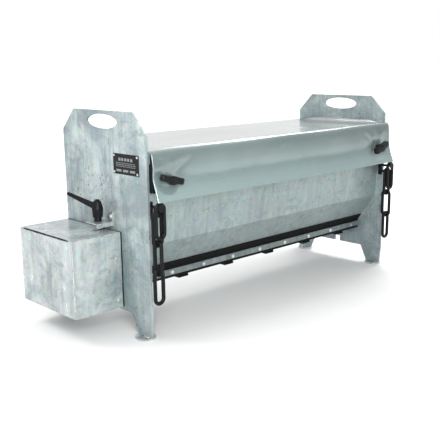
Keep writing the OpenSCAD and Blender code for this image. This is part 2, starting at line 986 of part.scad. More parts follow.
end_plate_left();
end_plate_right();
foot_pads();
hopper_front_panel();
hopper_rear_panel();
hopper_floor();
apron_rubber();
apron_bars();
apron_bolts();
slide_guides();
shaft_bush_left();
shaft_bush_right();
gearbox_housing();
gearbox_lid();
gearbox_spacers();
gearbox_bolts();
motor_can();
motor_end_cap();
motor_cover();
cover_seal();
cover_tabs();
cover_screws();
clamp_bracket();
bracket_bolts();
rating_plate();
plate_rivets();
tarp_rear_strip();
tarp_clamp_bar();
tarp_clamp_bolts();
end_seals();
knob_brackets();
chain_hooks();
cable_gland();
agitator_shaft();
agitator_fingers();
shaft_collars();
worm_wheel();
worm_shaft();
metering_slide();
slide_arm();
arm_bolts();
clamp_stud();
lever_handle();
lever_screw();
tarp_top();
tarp_flap();
flap_eyelets();
knob_left();
knob_left_stud();
knob_right();
knob_right_stud();
chain_left_spare();
chain_left_top();
chain_left_mid();
chain_left_end();
chain_right_spare();
chain_right_top();
chain_right_mid();
chain_right_end();
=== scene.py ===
import json
import math
import bmesh
import bpy
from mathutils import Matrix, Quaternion, Vector, noise


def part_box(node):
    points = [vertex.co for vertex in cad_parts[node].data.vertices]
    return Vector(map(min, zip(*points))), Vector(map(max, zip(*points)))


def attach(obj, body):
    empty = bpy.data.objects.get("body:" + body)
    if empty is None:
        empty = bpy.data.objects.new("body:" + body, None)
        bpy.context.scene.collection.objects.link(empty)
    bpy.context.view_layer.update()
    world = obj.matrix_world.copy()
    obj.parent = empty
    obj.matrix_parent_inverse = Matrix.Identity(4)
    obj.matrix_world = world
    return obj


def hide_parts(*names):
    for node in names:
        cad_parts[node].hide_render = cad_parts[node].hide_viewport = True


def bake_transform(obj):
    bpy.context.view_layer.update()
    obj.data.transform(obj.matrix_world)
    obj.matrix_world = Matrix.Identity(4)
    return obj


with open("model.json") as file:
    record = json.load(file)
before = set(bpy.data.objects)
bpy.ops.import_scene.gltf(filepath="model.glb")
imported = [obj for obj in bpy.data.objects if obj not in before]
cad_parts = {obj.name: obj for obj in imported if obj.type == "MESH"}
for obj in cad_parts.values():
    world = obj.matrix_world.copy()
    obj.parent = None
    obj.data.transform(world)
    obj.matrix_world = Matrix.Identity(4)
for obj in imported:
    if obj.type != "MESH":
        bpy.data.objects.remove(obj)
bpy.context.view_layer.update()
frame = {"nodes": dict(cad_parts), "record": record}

# ---------- node helpers ----------


def feed(tree, socket, value):
    """Links a value that is another node's socket, or sets a plain number or colour."""
    if isinstance(value, bpy.types.NodeSocket):
        tree.links.new(value, socket)
    elif hasattr(value, "__len__"):
        socket.default_value = (*value, 1)
    else:
        socket.default_value = value


def math_node(tree, how, a, b):
    node = tree.nodes.new("ShaderNodeMath")
    node.operation = how
    feed(tree, node.inputs[0], a)
    feed(tree, node.inputs[1], b)
    return node.outputs[0]


# ---------- camera, light and floor ----------

# The camera was solved from the edges of the box in the photo.
CAMERA_AT = (-1.523, -1.556, 0.6905)
CAMERA_YAW = math.radians(43.7)
CAMERA_PITCH = math.radians(-12.2)
CAMERA_ROLL = math.radians(-0.7)
CAMERA_LENS = 59.6
# The world's light: an even base, and for each direction the amount that it adds.
LIGHT_BASE = 0.20
LIGHT_FROM = (((0, 0, 1), 0.95), ((0.72, 0.66, 0.16), 0.62), ((-1, 0.15, 0.2), 0.25))
# Each lamp's name, its place, the point it faces, its width and height, and its power.
LAMPS = (
    ("key", (-1.7, 1.5, 2.6), (0, 0, 0.2), (1.1, 1.1), 30),
    ("rim", (1.9, 0.5, 2.1), (0.1, -0.1, 0.45), (1.5, 0.5), 46),
    ("fill", (-1.3, -1.5, 0.95), (-0.2, 0, 0.3), (0.8, 0.8), 30),
)
FLOOR_HALF = 30
FLOOR_REACH = 4.0


def make_camera():
    data = bpy.data.cameras.new("camera")
    data.lens = CAMERA_LENS
    data.sensor_width = 36
    data.clip_start = 0.05
    data.clip_end = 60
    camera = bpy.data.objects.new("camera", data)
    level = math.cos(CAMERA_PITCH)
    aim = Vector((math.sin(CAMERA_YAW) * level, math.cos(CAMERA_YAW) * level, math.sin(CAMERA_PITCH)))
    camera.location = CAMERA_AT
    camera.rotation_mode = "QUATERNION"
    camera.rotation_quaternion = aim.to_track_quat("-Z", "Y") @ Quaternion((0, 0, 1), CAMERA_ROLL)
    bpy.context.scene.collection.objects.link(camera)
    bpy.context.scene.camera = camera


def area_light(name, place, target, size, power):
    data = bpy.data.lights.new(name, "AREA")
    data.shape = "RECTANGLE"
    data.size, data.size_y = size
    data.energy = power
    lamp = bpy.data.objects.new(name, data)
    lamp.location = place
    lamp.rotation_mode = "QUATERNION"
    lamp.rotation_quaternion = (Vector(target) - Vector(place)).to_track_quat("-Z", "Y")
    bpy.context.scene.collection.objects.link(lamp)


def make_world():
    """White to the camera; as a light it is brightest above, behind and on the left."""
    world = bpy.data.worlds.new("studio")
    bpy.context.scene.world = world
    world.use_nodes = True
    tree = world.node_tree
    place = tree.nodes.new("ShaderNodeTexCoord").outputs["Generated"]
    total = LIGHT_BASE
    for direction, amount in LIGHT_FROM:
        dot = tree.nodes.new("ShaderNodeVectorMath")
        dot.operation = "DOT_PRODUCT"
        tree.links.new(place, dot.inputs[0])
        dot.inputs[1].default_value = Vector(direction).normalized()
        facing = math_node(tree, "MAXIMUM", dot.outputs["Value"], 0.0)
        total = math_node(tree, "ADD", math_node(tree, "MULTIPLY", facing, amount), total)
    light = tree.nodes["Background"]
    tree.links.new(total, light.inputs["Strength"])
    seen = tree.nodes.new("ShaderNodeBackground")
    seen.inputs["Strength"].default_value = 1.0
    seen.inputs["Color"].default_value = (1, 1, 1, 1)
    light.inputs["Color"].default_value = (1, 1, 1, 1)
    choose = tree.nodes.new("ShaderNodeMixShader")
    rays = tree.nodes.new("ShaderNodeLightPath")
    tree.links.new(rays.outputs["Is Camera Ray"], choose.inputs["Fac"])
    tree.links.new(light.outputs[0], choose.inputs[1])
    tree.links.new(seen.outputs[0], choose.inputs[2])
    tree.links.new(choose.outputs[0], tree.nodes["World Output"].inputs["Surface"])


def make_light():
    make_world()
    for lamp in LAMPS:
        area_light(*lamp)


def make_floor():
    mesh = bpy.data.meshes.new("floor")
    corners = [(x * FLOOR_HALF, y * FLOOR_HALF, 0) for x, y in ((-1, -1), (1, -1), (1, 1), (-1, 1))]
    mesh.from_pydata(corners, [], [(0, 1, 2, 3)])
    floor = bpy.data.objects.new("floor", mesh)
    bpy.context.scene.collection.objects.link(floor)
    floor.data.materials.append(floor_material())


# ---------- material helpers ----------

# A Mix node's colour sockets go by number, as its socket names repeat.
MIX_FACTOR = 0
MIX_A = 6
MIX_B = 7
MIX_COLOUR = 2


class Nodes:
    """A short way to build one material's node tree."""

    def __init__(self, name):
        self.material = bpy.data.materials.new(name)
        self.material.use_nodes = True
        self.tree = self.material.node_tree
        self.shader = self.tree.nodes["Principled BSDF"]
        self.place = self.tree.nodes.new("ShaderNodeTexCoord").outputs["Object"]

    def link(self, a, b):
        self.tree.links.new(a, b)

    def set(self, **values):
        for key, value in values.items():
            self.shader.inputs[key.replace("_", " ")].default_value = value

    def scaled(self, scale):
        node = self.tree.nodes.new("ShaderNodeMapping")
        node.inputs["Scale"].default_value = scale
        self.link(self.place, node.inputs["Vector"])
        return node.outputs["Vector"]

    def noise(self, vector, scale, detail=4, roughness=0.55, distortion=0):
        node = self.tree.nodes.new("ShaderNodeTexNoise")
        node.inputs["Scale"].default_value = scale
        node.inputs["Detail"].default_value = detail
        node.inputs["Roughness"].default_value = roughness
        node.inputs["Distortion"].default_value = distortion
        self.link(vector, node.inputs["Vector"])
        return node.outputs["Fac"]

    def cells(self, vector, scale):
        node = self.tree.nodes.new("ShaderNodeTexVoronoi")
        node.inputs["Scale"].default_value = scale
        self.link(vector, node.inputs["Vector"])
        return node.outputs["Color"]

    def ramp(self, value, stops):
        node = self.tree.nodes.new("ShaderNodeValToRGB")
        ramp = node.color_ramp
        for i, (at, colour) in enumerate(stops):
            stop = ramp.elements[i] if i < 2 else ramp.elements.new(at)
            stop.position = at
            stop.color = (*colour, 1) if hasattr(colour, "__len__") else (colour, colour, colour, 1)
        self.link(value, node.inputs["Fac"])
        return node.outputs["Color"]

    def mix(self, a, b, amount, how="MIX"):
        node = self.tree.nodes.new("ShaderNodeMix")
        node.data_type = "RGBA"
        node.blend_type = how
        for socket, value in ((MIX_A, a), (MIX_B, b), (MIX_FACTOR, amount)):
            feed(self.tree, node.inputs[socket], value)
        return node.outputs[MIX_COLOUR]

    def math(self, how, a, b):
        return math_node(self.tree, how, a, b)

    def colour(self, value):
        self.link(value, self.shader.inputs["Base Color"])

    def roughness(self, value):
        self.link(value, self.shader.inputs["Roughness"])

    def bump(self, height, strength, distance):
        node = self.tree.nodes.new("ShaderNodeBump")
        node.inputs["Strength"].default_value = strength
        node.inputs["Distance"].default_value = distance
        self.link(height, node.inputs["Height"])
        self.link(node.outputs["Normal"], self.shader.inputs["Normal"])


def shade(colour, by):
    return tuple(by * c for c in colour)


# ---------- materials ----------

SPECK_COLOUR = (0.05, 0.065, 0.07)
# Near-white for painted highlights: flecks that stand in for glints of light.
PAINTED_GLINT_COLOUR = (0.88, 0.92, 0.92)


def galvanised(name, dark, light, streak, speckle, metallic, rough=(0.34, 0.5), cloudy=0.0):
    """Hot-dip zinc: broad mottles, vertical runs, crystal spangle, dark specks and painted glints of light.
    """
    n = Nodes(name)
    mottle = n.noise(n.scaled((1, 1, 0.7)), 11, detail=7, roughness=0.66, distortion=0.9)
    runs = n.noise(n.scaled((75, 75, 2.6)), 1.1, detail=6, roughness=0.7, distortion=0.3)
    body = n.mix(mottle, runs, streak)
    colour = n.ramp(body, [(0.36, dark), (0.60, light)])
    stain = n.noise(n.scaled((1, 1, 1.6)), 19, detail=5, roughness=0.72, distortion=1.4)
    blots = n.ramp(stain, [(0.53, 0.0), (0.64, 1.0)])
    colour = n.mix(colour, shade(dark, 0.62), n.math("MULTIPLY", blots, 0.40))
    haze = n.noise(n.scaled((1, 1, 1.3)), 5.5, detail=4, roughness=0.6, distortion=0.6)
    clouds = n.ramp(haze, [(0.42, 0.0), (0.62, 1.0)])
    colour = n.mix(colour, shade(dark, 1.15), n.math("MULTIPLY", clouds, cloudy))
    spangle = n.cells(n.scaled((1, 1, 0.7)), 75)
    colour = n.mix(colour, spangle, 0.08, "SOFT_LIGHT")
    specks = n.ramp(n.noise(n.place, 105, roughness=0.75), [(0.57, 0.0), (0.66, 1.0)])
    patches = n.ramp(n.noise(n.place, 8, detail=3), [(0.46, 0.0), (0.62, 1.0)])
    amount = n.math("MULTIPLY", n.math("MULTIPLY", specks, patches), speckle)
    colour = n.mix(colour, SPECK_COLOUR, amount)
    # Painted highlights: fine near-white flecks in the colour stand in for glints of light.
    painted_glints = n.ramp(n.noise(n.place, 150, detail=3, roughness=0.7), [(0.66, 0.0), (0.72, 1.0)])
    colour = n.mix(colour, PAINTED_GLINT_COLOUR, n.math("MULTIPLY", painted_glints, 0.55))
    n.colour(colour)
    n.roughness(n.ramp(body, [(0.3, rough[0]), (0.7, rough[1])]))
    n.set(Metallic=metallic)
    n.bump(n.noise(n.scaled((1, 1, 0.5)), 130, detail=4, roughness=0.6), 0.18, 0.0008)
    return n.material


def zinc_plate():
    n = Nodes("zinc plate")
    clouds = n.noise(n.place, 60, detail=4)
    n.colour(n.ramp(clouds, [(0.3, (0.42, 0.45, 0.45)), (0.7, (0.74, 0.77, 0.76))]))
    n.roughness(n.ramp(clouds, [(0.3, 0.22), (0.7, 0.42)]))
    n.set(Metallic=0.85)
    n.bump(n.noise(n.place, 700, detail=3), 0.1, 0.0004)
    return n.material


def plain_steel():
    n = Nodes("turned steel")
    rings = n.noise(n.scaled((400, 3, 3)), 1, detail=3)
    n.colour(n.ramp(rings, [(0.3, (0.30, 0.31, 0.32)), (0.7, (0.5, 0.51, 0.52))]))
    n.roughness(n.ramp(rings, [(0.3, 0.25), (0.7, 0.4)]))
    n.set(Metallic=0.95)
    return n.material


def cast_paint():
    n = Nodes("cast paint")
    grain = n.noise(n.place, 220, detail=5, roughness=0.7)
    n.colour(n.ramp(grain, [(0.3, (0.09, 0.10, 0.11)), (0.7, (0.16, 0.17, 0.18))]))
    n.roughness(n.ramp(grain, [(0.3, 0.45), (0.7, 0.7)]))
    n.bump(grain, 0.5, 0.001)
    return n.material


def bronze():
    n = Nodes("bronze")
    clouds = n.noise(n.place, 90, detail=4)
    n.colour(n.ramp(clouds, [(0.3, (0.32, 0.19, 0.07)), (0.7, (0.55, 0.36, 0.15))]))
    n.roughness(n.ramp(clouds, [(0.3, 0.25), (0.7, 0.45)]))
    n.set(Metallic=1.0)
    return n.material


def black_plastic(name="black plastic", grain_scale=900, rough=(0.34, 0.5)):
    n = Nodes(name)
    grain = n.noise(n.place, grain_scale, 3, 0.6)
    dust = n.noise(n.place, 25, detail=5, roughness=0.6)
    n.colour(n.ramp(dust, [(0.35, (0.003, 0.003, 0.0035)), (0.75, (0.010, 0.011, 0.012))]))
    n.roughness(n.ramp(dust, [(0.3, rough[0]), (0.7, rough[1])]))
    n.set(Specular_IOR_Level=0.16)
    n.bump(grain, 0.25, 0.0004)
    return n.material


def rubber():
    n = Nodes("rubber")
    grain = n.noise(n.scaled((30, 1, 1)), 60, detail=4, roughness=0.6)
    n.colour(n.ramp(grain, [(0.3, (0.002, 0.002, 0.002)), (0.75, (0.006, 0.007, 0.007))]))
    n.roughness(n.ramp(grain, [(0.3, 0.62), (0.7, 0.85)]))
    n.set(Specular_IOR_Level=0.15)
    n.bump(grain, 0.2, 0.0006)
    return n.material


def chain_black():
    n = Nodes("chain black")
    wear = n.noise(n.place, 120, detail=5, roughness=0.65)
    stops = [(0.35, (0.003, 0.0032, 0.0035)), (0.68, (0.007, 0.008, 0.009)), (0.82, (0.04, 0.045, 0.05))]
    n.colour(n.ramp(wear, stops))
    n.roughness(n.ramp(wear, [(0.3, 0.30), (0.7, 0.48)]))
    n.set(Specular_IOR_Level=0.16)
    n.bump(n.noise(n.place, 350, detail=3), 0.3, 0.0006)
    return n.material


def label_black():
    n = Nodes("label black")
    film = n.noise(n.place, 40, detail=3)
    n.colour(n.ramp(film, [(0.3, (0.006, 0.007, 0.007)), (0.7, (0.014, 0.015, 0.016))]))
    n.roughness(n.ramp(film, [(0.3, 0.3), (0.7, 0.44)]))
    n.set(Specular_IOR_Level=0.1)
    return n.material


def label_silver():
    n = Nodes("label silver")
    film = n.noise(n.place, 300, detail=3)
    n.colour(n.ramp(film, [(0.3, (0.13, 0.14, 0.14)), (0.7, (0.22, 0.23, 0.23))]))
    n.roughness(n.ramp(film, [(0.3, 0.3), (0.7, 0.45)]))
    return n.material


# Painted light: the flap's lower part is painted paler, standing in for the light it catches; fully below
# the first height, not at all above the second.
PAINTED_LIGHT_HEIGHTS = (0.372, 0.448)


def tarpaulin(name, dark, light, rough):
    """Coated fabric: a smooth glossy skin with the weave just showing through."""
    n = Nodes(name)
    cloud = n.noise(n.scaled((0.6, 1.6, 1)), 4, detail=2, roughness=0.5)
    scuff = n.noise(n.scaled((3, 40, 14)), 1.4, detail=5, roughness=0.7)
    colour = n.ramp(cloud, [(0.0, shade(dark, 0.8)), (1.0, shade(light, 1.2))])
    worn = n.ramp(scuff, [(0.52, 0.0), (0.70, 1.0)])
    colour = n.mix(colour, light, n.math("MULTIPLY", worn, 0.35))
    split = n.tree.nodes.new("ShaderNodeSeparateXYZ")
    n.link(n.place, split.inputs["Vector"])
    # Painted light: the colour turns paler by height towards the flap's lower part.
    hem = n.ramp(split.outputs["Z"], [(PAINTED_LIGHT_HEIGHTS[0], 1.0), (PAINTED_LIGHT_HEIGHTS[1], 0.0)])
    colour = n.mix(colour, shade(dark, 2.0), n.math("MULTIPLY", hem, 0.85))
    n.colour(colour)
    n.roughness(n.ramp(cloud, [(0.0, rough[0]), (1.0, rough[1])]))
    weave = n.noise(n.place, 1100, detail=2, roughness=0.5)
    n.set(Coat_Weight=0.4, Coat_Roughness=0.16, Metallic=0.35)
    n.bump(weave, 0.04, 0.0002)
    return n.material


def floor_material():
    """A pale studio floor with painted shade near the object and painted light away from it, where it turns
    paler and glows.
    """
    n = Nodes("floor")
    grain = n.noise(n.place, 3, detail=3)
    near = n.ramp(grain, [(0.3, (0.73, 0.73, 0.73)), (0.7, (0.75, 0.75, 0.75))])
    away = n.tree.nodes.new("ShaderNodeVectorMath")
    away.operation = "LENGTH"
    n.link(n.place, away.inputs[0])
    # Painted light and shade: darker near the object, paler and glowing further away.
    painted_light_share = n.ramp(n.math("DIVIDE", away.outputs["Value"], FLOOR_REACH), [(0.22, 0.0), (0.60, 1.0)])
    n.colour(n.mix(near, (0.97, 0.97, 0.97), painted_light_share))
    n.link(n.math("MULTIPLY", painted_light_share, 0.35), n.shader.inputs["Emission Strength"])
    n.set(Roughness=0.9, Emission_Color=(1, 1, 1, 1))
    return n.material


def make_materials():
    plate = galvanised(
        "galvanised plate", dark=(0.16, 0.205, 0.22), light=(0.46, 0.525, 0.525),
        streak=0.42, speckle=0.95, metallic=0.35, cloudy=0.75,
    )
    panel = galvanised(
        "galvanised panel", dark=(0.22, 0.275, 0.275), light=(0.32, 0.385, 0.38),
        streak=0.55, speckle=0.12, metallic=0.45,
    )
    cover = galvanised(
        "galvanised cover", dark=(0.22, 0.265, 0.275), light=(0.50, 0.55, 0.545),
        streak=0.25, speckle=0.6, metallic=0.35, rough=(0.2, 0.3),
    )
    dull_bar_and_painted_shade = galvanised(
        "dull bar", dark=(0.10, 0.135, 0.135), light=(0.24, 0.28, 0.275),
        streak=0.4, speckle=0.2, metallic=0.5,
    )
    # One tarpaulin fabric in two tones: the flap's copy is darker, as painted shade on the sheet that faces
    # forward, and the top's copy paler, as painted light on the sheet that faces up.
    shaded_canvas = tarpaulin(
        "tarpaulin", dark=(0.14, 0.188, 0.186), light=(0.19, 0.24, 0.235), rough=(0.22, 0.32),
    )
    lit_canvas_top = tarpaulin(
        "tarpaulin top", dark=(0.27, 0.30, 0.295), light=(0.36, 0.39, 0.385), rough=(0.16, 0.26),
    )
    return {
        "galvanised": plate,
        "panel": panel,
        "galvanised_cover": cover,
        "zinc": zinc_plate(),
        "rubber": rubber(),
        "black_plastic": black_plastic(),
        "rating_plate": label_black(),
        "gear_casting": cast_paint(),
        "motor_paint": black_plastic("motor enamel", 300, (0.25, 0.4)),
        "shaft_steel": plain_steel(),
        "bronze": bronze(),
        "tarpaulin": shaded_canvas,
        "tarpaulin_top": lit_canvas_top,
        "chain_black": chain_black(),
        "label_silver": label_silver(),
        "dull_bar_and_painted_shade": dull_bar_and_painted_shade,
    }


PANELS = ("hopper_front_panel", "hopper_rear_panel", "hopper_floor", "metering_slide", "slide_arm")
SHOWN_AS = {name: "panel" for name in PANELS}
SHOWN_AS["chain_hooks"] = "chain_black"
SHOWN_AS["apron_bars"] = "dull_bar_and_painted_shade"
# The eyelet rings take the darker dull-bar zinc as painted shade round the knobs.
SHOWN_AS["flap_eyelets"] = "dull_bar_and_painted_shade"
BEVELLED = ("end_plate_left", "end_plate_right", "motor_cover", "clamp_bracket", "hopper_front_panel")
EDGE_RADIUS = 0.0006
EDGE_ANGLE = math.radians(50)


def dress_cad(materials):
    """Gives every CAD node its material and rounds off the sheet metal's edges."""
    for part in frame["record"]["subparts"]:
        node = frame["nodes"][part["node"]]
        slot = part["material_slot"]
        material = materials[SHOWN_AS.get(part["node"], slot)]
        if not node.data.materials:
            node.data.materials.append(material)
        for place in node.material_slots:
            place.link = "DATA"
            place.material = material
        if part["node"] in BEVELLED:
            edge = node.modifiers.new("edges", "BEVEL")
            edge.width = EDGE_RADIUS
            edge.segments = 2
            edge.limit_method = "ANGLE"
            edge.angle_limit = EDGE_ANGLE


# ---------- places, in the hopper's own frame ----------

MM = 0.001
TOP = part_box("tarp_top")
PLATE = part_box("end_plate_left")
RIGHT_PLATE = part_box("end_plate_right")
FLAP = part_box("tarp_flap")
CENTRE_X = (TOP[0][0] + TOP[1][0]) / 2
CENTRE_Y = (PLATE[0][1] + PLATE[1][1]) / 2


def at(x, y, z):
    """A point in mm from the hopper's middle at floor level, in the row's frame."""
    return Vector((CENTRE_X + x * MM, CENTRE_Y + y * MM, z * MM))


def new_piece(name, verts, faces, material, smooth=True):
    mesh = bpy.data.meshes.new(name)
    mesh.from_pydata(verts, [], faces)
    mesh.update()
    piece = bpy.data.objects.new(name, mesh)
    bpy.context.scene.collection.objects.link(piece)
    mesh.materials.append(material)
    for face in mesh.polygons:
        face.use_smooth = smooth
    return piece


def apply_modifiers(piece):
    """Turns the piece's modifiers into its mesh."""
    graph = bpy.context.evaluated_depsgraph_get()
    mesh = bpy.data.meshes.new_from_object(piece.evaluated_get(graph))
    piece.modifiers.clear()
    piece.data = mesh


def smoothstep(low, high, value):
    """0 at low, 1 at high, and smooth between; low may be the larger of the two."""
    t = min(1.0, max(0.0, (value - low) / (high - low)))
    return t * t * (3 - 2 * t)


def bell(offset, width):
    return math.exp(-((offset / width) ** 2))


def middle_mm(name, axis):
    """The middle of a node's box along one axis, in mm."""
    low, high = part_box(name)
    return (low[axis] + high[axis]) / 2 / MM


CURVE_STEPS = 24


def curve_points(knots, count):
    """Evenly spaced points on a Catmull-Rom curve through 2-D knots."""
    knots = [Vector(k) for k in knots]
    line = []
    for i in range(len(knots) - 1):
        a = knots[max(i - 1, 0)]
        b, c = knots[i], knots[i + 1]
        d = knots[min(i + 2, len(knots) - 1)]
        for step in range(CURVE_STEPS):
            t = step / CURVE_STEPS
            square = (2 * a - 5 * b + 4 * c - d) * t**2
            cube = (3 * b - a - 3 * c + d) * t**3
            line.append(0.5 * (2 * b + (c - a) * t + square + cube))
    line.append(knots[-1])
    reach = [0.0]
    for a, b in zip(line, line[1:]):
        reach.append(reach[-1] + (b - a).length)
    points = []
    k = 0
    for i in range(count + 1):
        want = reach[-1] * i / count
        while k < len(line) - 2 and reach[k + 1] < want:
            k += 1
        span = max(reach[k + 1] - reach[k], 1e-9)
        points.append(line[k].lerp(line[k + 1], min(1.0, (want - reach[k]) / span)))
    return points


def grid_faces(columns, rows):
    faces = []
    for i in range(columns - 1):
        for j in range(rows - 1):
            a = i * rows + j
            faces.append((a, a + 1, a + rows + 1, a + rows))
    return faces


# ---------- tarpaulin ----------

# Lengths in mm in at()'s frame, apart from the stud holes' two sizes, which are in metres.
SHEET_T = 1.4
HALF = (TOP[1][0] - TOP[0][0]) / 2 / MM
FLAP_HALF = (FLAP[1][0] - FLAP[0][0]) / 2 / MM
LEVEL = middle_mm("tarp_top", 2)
SEAM_Y = -176.5
SEAM_Z = LEVEL - 4.6
SEAM_FADE = 14
# The share of the fold's lift that is left at the seam, on both sheets, so that they meet.
SEAM_SHARE = 0.35
REAR_Y = middle_mm("tarp_rear_strip", 1) - CENTRE_Y / MM
STRIP_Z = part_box("tarp_rear_strip")[0][2] / MM
TOP_COLUMNS = 150
TOP_ROWS = 110

# The hems turned up along both plates, with a trough beside each one.
HEM_CURL = 15.0
CURL_WIDTH = 17.0
CURL_STEPS = 10
CURL_FRONT_Y = -183
CURL_FRONT_FADE = 75
CURL_REAR_Y = 178
CURL_REAR_FADE = 70
TROUGH_DEPTH = 1.5
TROUGH_INSET = 34
TROUGH_WIDTH = 20

# The waves fade out towards the front and rear rims, and there are none below RIM_DROP.
RIM_Y = 182
RIM_FADE = 40
RIM_DROP = 8


def ripple(x, y, size, seed):
    return noise.noise(Vector((x / size, y / size, seed)))


def ridge_lift(x):
    """The fold is pulled a little higher at the right end and drops at the left corner."""
    u = x / FLAP_HALF
    return 0.5 + 2.4 * u + 0.7 * math.cos(9.0 * u) - 3.2 * math.exp(-(1 + u) * 28)


def top_profile(count):
    """From the clamped rear strip, up over the rear rim and forward to the seam."""
    clamped = [(REAR_Y, STRIP_Z), (REAR_Y, STRIP_Z + 20)]
    rear_rim = [(REAR_Y - 0.2, LEVEL - 7), (REAR_Y - 3.4, LEVEL - 0.2), (REAR_Y - 12, LEVEL + 0.6)]
    sag = [(REAR_Y - 26, LEVEL - 1.2), (120, LEVEL - 3.2), (40, LEVEL - 3.8)]
    sag += [(-60, LEVEL - 3.4), (-130, LEVEL - 2.0)]
    valley = [(SEAM_Y + 16, LEVEL - 0.2), (SEAM_Y + 11, LEVEL + 1.7), (SEAM_Y + 5, LEVEL + 0.4)]
    valley += [(SEAM_Y + 1.5, LEVEL - 2.4), (SEAM_Y, SEAM_Z)]
    return curve_points(clamped + rear_rim + sag + valley, count)


def make_top(material):
    """The sheet over the hopper: sags between the rims, side hems turned up along the plates."""
    profile = top_profile(TOP_ROWS)
    flat = HALF - CURL_WIDTH
    columns = [(flat * (2 * i / TOP_COLUMNS - 1), 0.0) for i in range(TOP_COLUMNS + 1)]
    turn = [math.radians(90 * (k + 1) / CURL_STEPS) for k in range(CURL_STEPS)]
    columns = [(-flat, a) for a in reversed(turn)] + columns + [(flat, a) for a in turn]
    verts = []
    for x0, angle in columns:
        side = 1 if x0 > 0 else -1
        for y, z in profile:
            inside = smoothstep(0, RIM_FADE, RIM_Y - abs(y)) if z > LEVEL - RIM_DROP else 0.0
            x = x0 + side * CURL_WIDTH * math.sin(angle)
            ends = smoothstep(0, CURL_REAR_FADE, CURL_REAR_Y - y)
            ends *= smoothstep(0, CURL_FRONT_FADE, y - CURL_FRONT_Y)
            lift = HEM_CURL * ends * (1 - math.cos(angle)) * (1 + 0.12 * math.sin(y / 31 + side))
            dip = TROUGH_DEPTH * ends * bell((HALF - abs(x)) - TROUGH_INSET, TROUGH_WIDTH)
            broad = 1.6 * ripple(x, y * 0.6, size=150, seed=2.1)
            fine = 0.7 * ripple(x * 1.4, y * 0.5, size=60, seed=5.7)
            pull = 0.9 * math.sin(x / 46 + y / 90) * bell(y + 150, 60)
            seam = smoothstep(SEAM_Y, SEAM_Y + SEAM_FADE, y)
            waves = inside * (broad + fine + pull) * seam
            verts.append(at(x, y, z + waves + lift - dip + (1 - seam) * SEAM_SHARE * ridge_lift(x)))
    sheet = new_piece("tarp_cover", verts, grid_faces(len(columns), len(profile)), material)
    thicken(sheet)
    return sheet


def thicken(sheet):
    solid = sheet.modifiers.new("thickness", "SOLIDIFY")
    solid.thickness = SHEET_T * MM
    solid.offset = 0
    apply_modifiers(sheet)
    for face in sheet.data.polygons:
        face.use_smooth = True


KNOB_X = [middle_mm(stud, 0) - CENTRE_X / MM for stud in ("knob_left_stud", "knob_right_stud")]
KNOB_Z = middle_mm("knob_left_stud", 2)
EYELET_T = 1.5
CAD_FLAP_T = 2.5
# The eyelets' rings lie on the CAD flap's face, and the sheet is held at the middle of its thickness.
FLAP_FACE_Y = (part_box("flap_eyelets")[0][1] + EYELET_T * MM) / MM - CENTRE_Y / MM
HELD_Y = FLAP_FACE_Y + CAD_FLAP_T / 2
# Held flat out to HELD_R from a knob's middle, free past FREE_R, and only within HELD_BAND of its height.
HELD_R = 15.5
FREE_R = 44
HELD_BAND = 60
HEM_Z = FLAP[0][2] / MM
FLAP_COLUMNS = 241
FLAP_ROWS = 96
CORNER_WIDTH = 32
FOLD_DEPTH = 9
# The stud holes, in metres: their radius, and how far a point may be from the held face.
HOLE_R = 7.4 * MM
HOLE_DEPTH = 0.01
# Pull marks round each knob: rays, and a sunk crease above it that rises towards the middle.
RAYS = 5
RAY_DEPTH = 1.3
RAY_REACH = 42
RAY_WIDTH = 26
CREASE_SLOPE = 0.62
CREASE_DEPTH = 1.5
CREASE_WIDTH = 9
CREASE_REACH = 45
CREASE_LENGTH = 38


def flap_profile(count):
    """From the seam, over the front rim and down past the knobs to the hem."""
    knots = [(SEAM_Y, SEAM_Z), (SEAM_Y - 2.5, SEAM_Z + 1.2), (-183.5, LEVEL + 1.2), (-188.5, LEVEL + 2.7)]
    knots += [(-193.0, LEVEL + 0.9), (-197.2, LEVEL - 6), (-199.8, LEVEL - 21), (-201.6, LEVEL - 45)]
    knots += [(-202.6, KNOB_Z), (-206.5, KNOB_Z - 18), (-213.5, HEM_Z + 17), (-220.0, HEM_Z + 0.6)]
    return curve_points(knots, count)


def flap_push(x, z, down):
    """How far the flap stands out from its plain profile, in mm."""
    broad = 3.4 * ripple(x, 0, size=95, seed=1.3)
    fine = 2.0 * ripple(x, z * 0.3, size=42, seed=7.9)
    flutes = math.sin(x / 21 + 2.2 * ripple(x, z, size=120, seed=4.4))
    push = down**1.6 * (broad + fine) + 0.9 * down * flutes
    for knob in KNOB_X:
        dx, dz = x - knob, z - KNOB_Z
        reach = math.hypot(dx, dz)
        angle = math.atan2(dz, dx)
        rays = math.cos(RAYS * angle + 0.7) * bell(reach - RAY_REACH, RAY_WIDTH)
        push += RAY_DEPTH * rays
        crease = abs(dz - CREASE_SLOPE * (dx if knob < 0 else -dx))
        along = bell(reach - CREASE_REACH, CREASE_LENGTH)
        push -= CREASE_DEPTH * bell(crease, CREASE_WIDTH) * along * smoothstep(0, 20, dz)
    return push


def in_hole(point, holes):
    """True for a point of the sheet that lies inside one of the stud holes."""
    for hole in holes:
        level = abs(point.y - hole.y) < HOLE_DEPTH
        if level and math.hypot(point.x - hole.x, point.z - hole.z) < HOLE_R:
            return True
    return False


